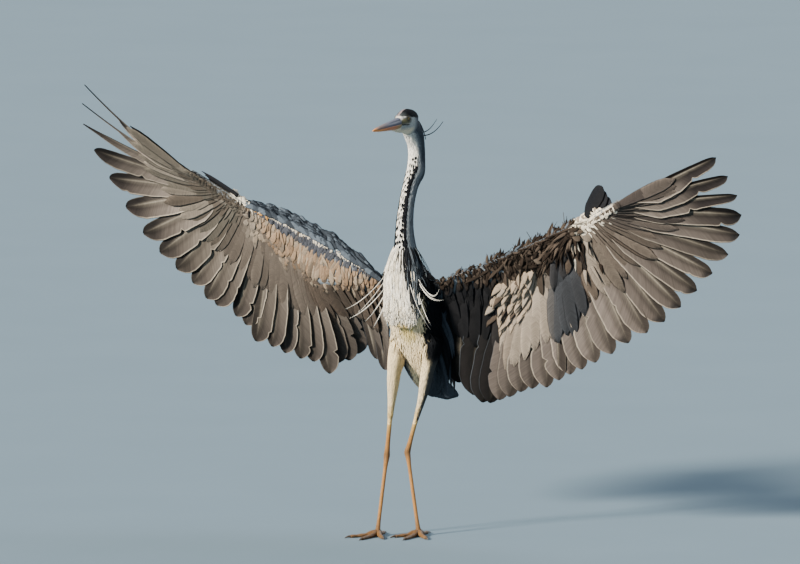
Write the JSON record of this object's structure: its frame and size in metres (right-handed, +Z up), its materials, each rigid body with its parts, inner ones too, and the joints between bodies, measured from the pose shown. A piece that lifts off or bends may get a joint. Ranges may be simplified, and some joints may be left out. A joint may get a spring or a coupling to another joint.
{
  "type": "grey heron",
  "caption": "Life-size still model of a grey heron standing with its neck raised and both wings lifted and spread.",
  "frame": {"origin": "on the floor under the middle of the bird's bounding box", "axes": "+Z up, the bird faces -Y, +X towards its left side, along its wing spread"},
  "size_m": [1.5544, 0.4032, 0.9421],
  "materials": {
    "white_feathers": "soft matt",
    "cream_feathers": "soft matt",
    "grey_feathers": "soft matt",
    "underwing_feathers": "soft matt with a slight sheen",
    "black_feathers": "satin",
    "leg_skin": "scaly, satin",
    "claw_horn": "smooth horn",
    "upper_bill_horn": "smooth horn",
    "lower_bill_horn": "smooth horn",
    "eye_gloss": "wet gloss"
  },
  "bodies": {
    "root": {"trunk": "grey_feathers", "wing_right_upper_arm": "underwing_feathers", "wing_right_forearm": "underwing_feathers", "wing_right_hand": "underwing_feathers", "wing_right_alula": "black_feathers", "wing_left_upper_arm": "underwing_feathers", "wing_left_forearm": "underwing_feathers", "wing_left_hand": "underwing_feathers", "wing_left_alula": "black_feathers", "neck_upper": "grey_feathers", "neck_middle": "grey_feathers", "neck_lower": "white_feathers", "head": "white_feathers", "eye_left": "eye_gloss", "eye_right": "eye_gloss", "bill_upper": "upper_bill_horn", "bill_lower": "lower_bill_horn", "nape_plume_1": "black_feathers", "nape_plume_2": "black_feathers", "tail": "grey_feathers", "thigh_right": "cream_feathers", "shank_right": "leg_skin", "tarsus_right": "leg_skin", "foot_right": "leg_skin", "claw_right_inner": "claw_horn", "claw_right_middle": "claw_horn", "claw_right_outer": "claw_horn", "claw_right_hind": "claw_horn", "thigh_left": "cream_feathers", "shank_left": "leg_skin", "tarsus_left": "leg_skin", "foot_left": "leg_skin", "claw_left_inner": "claw_horn", "claw_left_middle": "claw_horn", "claw_left_outer": "claw_horn", "claw_left_hind": "claw_horn"}
  },
  "joints": []
}
